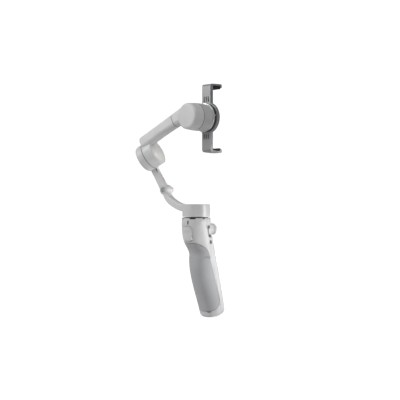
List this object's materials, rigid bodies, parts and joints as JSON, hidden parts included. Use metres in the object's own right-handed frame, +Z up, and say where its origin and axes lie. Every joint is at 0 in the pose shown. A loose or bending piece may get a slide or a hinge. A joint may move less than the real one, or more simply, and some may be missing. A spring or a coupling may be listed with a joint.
{
  "type": "handheld phone stabilizer",
  "caption": "Handheld motorised phone stabilizer: leaning grip with joystick and trigger, telescoping rod, folding arms with pan, tilt and roll motors, and a spring clamp.",
  "frame": {"origin": "centre of the tripod thread's mouth in the foot of the handle", "axes": "+Z up along the pan axis, +Y to the trigger side, which the phone's back faces, +X to the side the folding arms stand on"},
  "size_m": [0.1144, 0.0707, 0.29],
  "materials": {
    "shell_plastic": "fine spark-eroded, satin",
    "arm_paint": "satin paint over a fibre-filled moulding",
    "soft_grip": "matt, soft touch",
    "dark_plastic": "matt",
    "button_plastic": "satin",
    "clamp_plastic": "satin",
    "pad_rubber": "ribbed",
    "hinge_metal": "turned",
    "seat_chrome": "polished",
    "plate_metal": "dark polished",
    "steel": "ground",
    "rod_metal": "anodised",
    "brass": "turned",
    "copper_winding": "varnished",
    "magnet": "nickel plated",
    "board_green": "soldered",
    "cell_wrap": "shrink wrap",
    "light_lens": "frosted"
  },
  "bodies": {
    "handle": {"front_shell": "shell_plastic", "control_panel": "shell_plastic", "rear_cover": "shell_plastic", "grip_sleeve": "soft_grip", "tripod_insert": "brass", "battery_pack": "cell_wrap", "main_board": "board_green", "button_board": "board_green", "charging_port": "steel", "status_window": "dark_plastic", "battery_lights": "light_lens", "rod_guide": "dark_plastic", "dock_ring": "dark_plastic", "joystick_base": "dark_plastic"},
    "trigger": {"trigger": "button_plastic"},
    "zoom_slider": {"zoom_slider": "button_plastic"},
    "record_button": {"record_button": "button_plastic"},
    "switch_button": {"switch_button": "button_plastic"},
    "mode_button": {"mode_button": "dark_plastic"},
    "stick_ring": {"joystick_ring": "dark_plastic"},
    "stick": {"joystick_stick": "button_plastic", "joystick_pad": "dark_plastic"},
    "rod_1": {"rod_stage_1": "rod_metal"},
    "rod_2": {"rod_stage_2": "rod_metal"},
    "rod_3": {"rod_stage_3": "rod_metal", "rod_head": "hinge_metal", "head_pin": "steel"},
    "pan_mount": {"pan_base": "dark_plastic", "pan_stator": "copper_winding", "pan_bearings": "steel"},
    "lower_arm": {"lower_arm": "arm_paint", "pan_shaft": "steel", "pan_magnets": "magnet", "lower_knuckle": "hinge_metal", "fold_pin": "steel"},
    "fold_knob": {"fold_lock_knob": "hinge_metal"},
    "middle_arm": {"upper_knuckle": "hinge_metal", "middle_arm": "arm_paint", "tilt_stator": "copper_winding", "tilt_bearing": "steel"},
    "upper_arm": {"upper_arm": "arm_paint", "tilt_magnets": "magnet", "tilt_shaft": "steel", "tilt_end_cap": "arm_paint", "roll_arm": "arm_paint", "roll_stator": "copper_winding", "roll_bearing": "steel"},
    "clamp": {"roll_rotor": "arm_paint", "roll_magnets": "magnet", "roll_shaft": "steel", "magnet_seat": "seat_chrome", "seat_magnets": "magnet", "clamp_plate": "plate_metal", "clamp_base": "clamp_plastic", "rest_pads": "pad_rubber"},
    "upper_jaw": {"upper_jaw": "clamp_plastic", "upper_jaw_pad": "pad_rubber"},
    "lower_jaw": {"lower_jaw": "clamp_plastic", "lower_jaw_pad": "pad_rubber"},
    "pinion": {"centring_pinion": "dark_plastic"}
  },
  "joints": [
    {"name": "trigger_press", "type": "slide", "parent": "handle", "child": "trigger", "axis": [0, -1, 0], "range_m": [0, 0.0012]},
    {"name": "zoom_slide", "type": "slide", "parent": "handle", "child": "zoom_slider", "axis": [0, 0.2504, 0.9681], "range_m": [-0.003, 0.003]},
    {"name": "record_press", "type": "slide", "parent": "handle", "child": "record_button", "axis": [0, 1, 0], "range_m": [0, 0.0008]},
    {"name": "switch_press", "type": "slide", "parent": "handle", "child": "switch_button", "axis": [0, 1, 0], "range_m": [0, 0.0008]},
    {"name": "mode_press", "type": "slide", "parent": "handle", "child": "mode_button", "axis": [1, 0, 0], "range_m": [0, 0.0006]},
    {"name": "stick_tip", "type": "hinge", "parent": "handle", "child": "stick_ring", "pos_m": [0, 0.01527, 0.10615], "axis": [1, 0, 0], "range_deg": [-10, 10]},
    {"name": "stick_swing", "type": "hinge", "parent": "stick_ring", "child": "stick", "pos_m": [0, 0.01527, 0.10615], "axis": [0, 0, 1], "range_deg": [-10, 10]},
    {"name": "rod_1_slide", "type": "slide", "parent": "handle", "child": "rod_1", "axis": [0, 0.2504, 0.9681], "range_m": [0, 0.0717]},
    {"name": "rod_2_slide", "type": "slide", "parent": "rod_1", "child": "rod_2", "axis": [0, 0.2504, 0.9681], "range_m": [0, 0.0717]},
    {"name": "rod_3_slide", "type": "slide", "parent": "rod_2", "child": "rod_3", "axis": [0, 0.2504, 0.9681], "range_m": [0, 0.0717]},
    {"name": "head_tilt", "type": "hinge", "parent": "rod_3", "child": "pan_mount", "pos_m": [0, 0.0295, 0.11405], "axis": [-1, 0, 0], "range_deg": [0, 90]},
    {"name": "pan_turn", "type": "hinge", "parent": "pan_mount", "child": "lower_arm", "pos_m": [0, 0.02867, 0.12945], "axis": [0, 0, 1], "range_deg": [-161, 173]},
    {"name": "fold_knob_pull", "type": "slide", "parent": "lower_arm", "child": "fold_knob", "axis": [0, -1, 0], "range_m": [0, 0.002]},
    {"name": "arm_fold", "type": "hinge", "parent": "lower_arm", "child": "middle_arm", "pos_m": [0.055, 0.02867, 0.15545], "axis": [0, 1, 0], "range_deg": [-65, 0]},
    {"name": "tilt_turn", "type": "hinge", "parent": "middle_arm", "child": "upper_arm", "pos_m": [0.0775, 0.03667, 0.19885], "axis": [-0.8191, -0.3296, 0.4695], "range_deg": [-101, 78]},
    {"name": "roll_turn", "type": "hinge", "parent": "upper_arm", "child": "clamp", "pos_m": [0, 0.02867, 0.24425], "axis": [0, 1, 0], "range_deg": [-120, 212]},
    {"name": "upper_jaw_slide", "type": "slide", "parent": "clamp", "child": "upper_jaw", "axis": [0, 0, 1], "range_m": [-0.0055, 0.003]},
    {"name": "lower_jaw_slide", "type": "slide", "parent": "clamp", "child": "lower_jaw", "axis": [0, 0, -1], "range_m": [-0.0055, 0.003]},
    {"name": "pinion_turn", "type": "hinge", "parent": "clamp", "child": "pinion", "pos_m": [0, 0.00867, 0.24425], "axis": [0, -1, 0], "range_deg": [-110, 61]}
  ],
  "couplings": [
    {"joint": "head_tilt", "follows": "rod_3_slide", "rad_per_m": 21.9},
    {"joint": "lower_jaw_slide", "follows": "upper_jaw_slide", "ratio": 1},
    {"joint": "pinion_turn", "follows": "upper_jaw_slide", "rad_per_m": 344.8}
  ]
}
